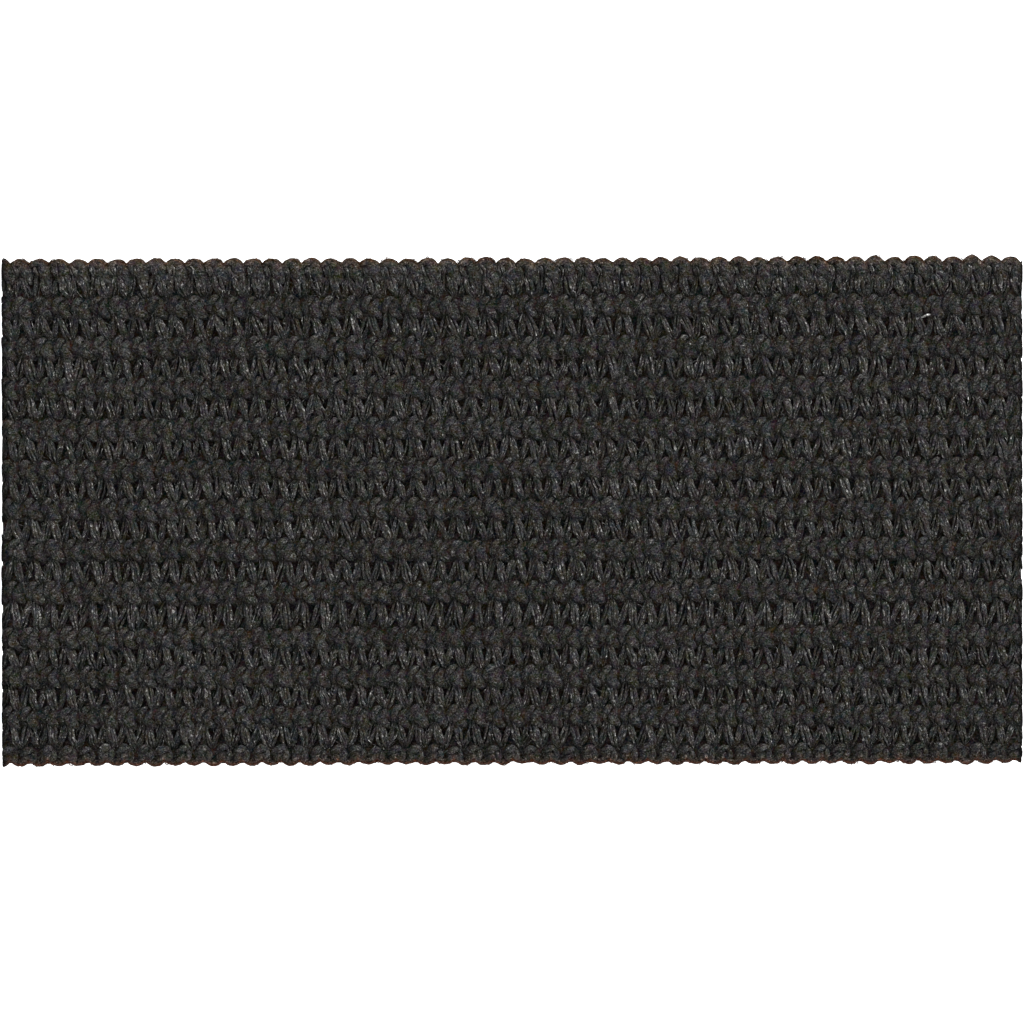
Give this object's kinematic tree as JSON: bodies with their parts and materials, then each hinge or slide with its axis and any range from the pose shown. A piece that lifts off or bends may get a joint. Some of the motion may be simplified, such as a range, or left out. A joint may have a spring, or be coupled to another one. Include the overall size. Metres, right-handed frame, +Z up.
{
  "type": "cut length of knitted elastic tape",
  "caption": "Flat cut length of black knitted elastic tape with ribbed faces and scalloped selvedges, for sewing into waistbands, cuffs and straps.",
  "frame": {"origin": "middle of the underside, on the flat land of the middle rib", "axes": "+X along the tape's length, +Y across its width, +Z up out of its face"},
  "size_m": [0.0502, 0.0252, 0.0015],
  "materials": {
    "black_yarn": "matt bulked polyester yarn, knitted"
  },
  "bodies": {
    "root": {"elastic_tape": "black_yarn"}
  },
  "joints": []
}
